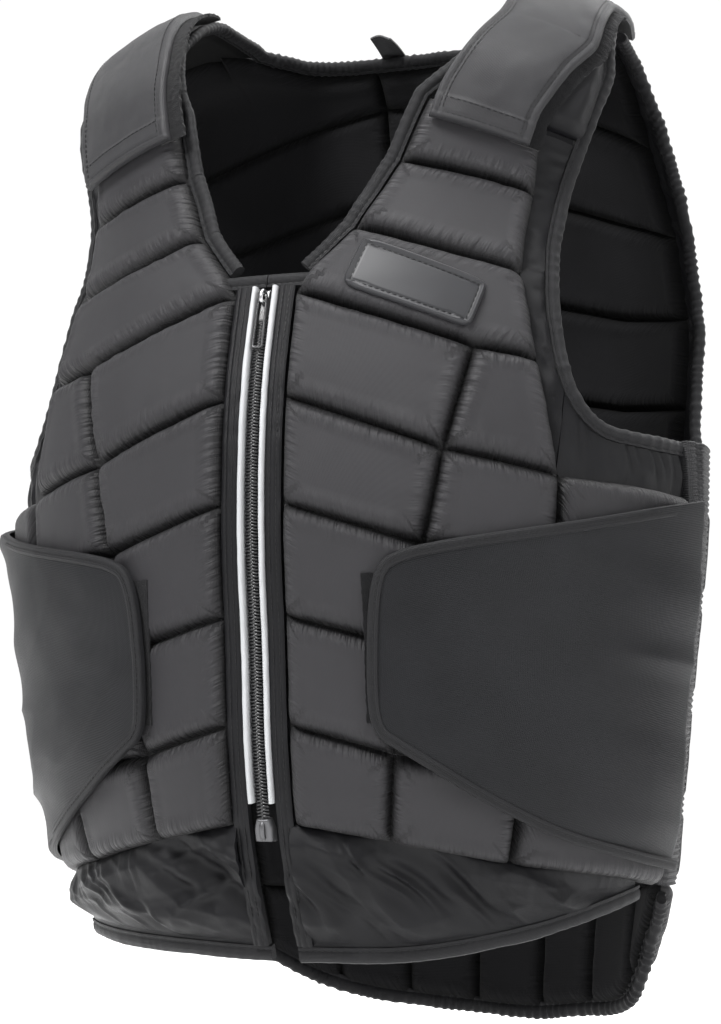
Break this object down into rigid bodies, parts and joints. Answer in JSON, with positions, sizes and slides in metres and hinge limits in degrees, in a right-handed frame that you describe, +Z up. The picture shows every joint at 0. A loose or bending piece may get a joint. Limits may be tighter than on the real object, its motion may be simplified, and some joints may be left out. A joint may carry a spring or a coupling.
{
  "type": "equestrian body protector",
  "caption": "Quilted foam body protector vest with front zip, adjustable shoulder straps, waist wraps, armholes and a scooped back tail.",
  "frame": {"origin": "middle of the shoulder line, level with the inside of the shoulders, where the vest hangs on its wearer", "axes": "+Z up along the body, -Y towards the front zip, +X towards the wearer's left"},
  "size_m": [0.4048, 0.282, 0.5696],
  "materials": {
    "pad_cloth": "satin woven nylon",
    "loose_cloth": "satin woven nylon",
    "binding_cloth": "matte gathered tape",
    "wrap_cloth": "satin brushed knit",
    "hook_cloth": "matte fuzzy hook and loop",
    "webbing": "matte ribbed",
    "piping": "silver white reflective",
    "tooth_plastic": "semi-gloss",
    "badge_rubber": "satin",
    "tag_cloth": "satin",
    "dark_metal": "dark gunmetal",
    "grey_metal": "satin grey"
  },
  "bodies": {
    "vest": {"back_panel": "pad_cloth", "back_tail": "pad_cloth", "front_panel_left": "pad_cloth", "front_panel_right": "pad_cloth", "front_skirt_left": "loose_cloth", "front_skirt_right": "loose_cloth", "armhole_band_front_left": "loose_cloth", "armhole_band_front_right": "loose_cloth", "side_gusset_left": "loose_cloth", "side_gusset_right": "loose_cloth", "armhole_band_back_left": "loose_cloth", "armhole_band_back_right": "loose_cloth", "shoulder_yoke_left": "loose_cloth", "shoulder_yoke_right": "loose_cloth", "shoulder_strap_left": "loose_cloth", "shoulder_strap_right": "loose_cloth", "zip_facing_left": "loose_cloth", "zip_facing_right": "loose_cloth", "back_hem_binding": "binding_cloth", "neck_binding_back": "binding_cloth", "front_hem_binding_left": "binding_cloth", "front_hem_binding_right": "binding_cloth", "armhole_binding_front_left": "binding_cloth", "armhole_binding_front_right": "binding_cloth", "armhole_binding_back_left": "binding_cloth", "armhole_binding_back_right": "binding_cloth", "neck_binding_left": "binding_cloth", "neck_binding_right": "binding_cloth", "neck_front_binding_left": "binding_cloth", "neck_front_binding_right": "binding_cloth", "waist_wrap_binding_left": "binding_cloth", "waist_wrap_binding_right": "binding_cloth", "waist_wrap_left": "wrap_cloth", "waist_wrap_right": "wrap_cloth", "hook_strip_left": "hook_cloth", "hook_strip_right": "hook_cloth", "wrap_patch_left": "hook_cloth", "wrap_patch_right": "hook_cloth", "side_webbing_left": "webbing", "side_webbing_right": "webbing", "zip_tape_left": "webbing", "zip_tape_right": "webbing", "zip_piping_left": "piping", "zip_piping_right": "piping", "zip_teeth": "tooth_plastic", "badge": "badge_rubber", "neck_tag": "tag_cloth", "zip_slider": "dark_metal", "zip_stop": "grey_metal"},
    "puller": {"zip_puller": "dark_metal"}
  },
  "joints": [
    {"name": "puller_swing", "type": "hinge", "parent": "vest", "child": "puller", "pos_m": [0, -0.12779, -0.1702], "axis": [-1, 0, 0], "range_deg": [0, 150]}
  ]
}
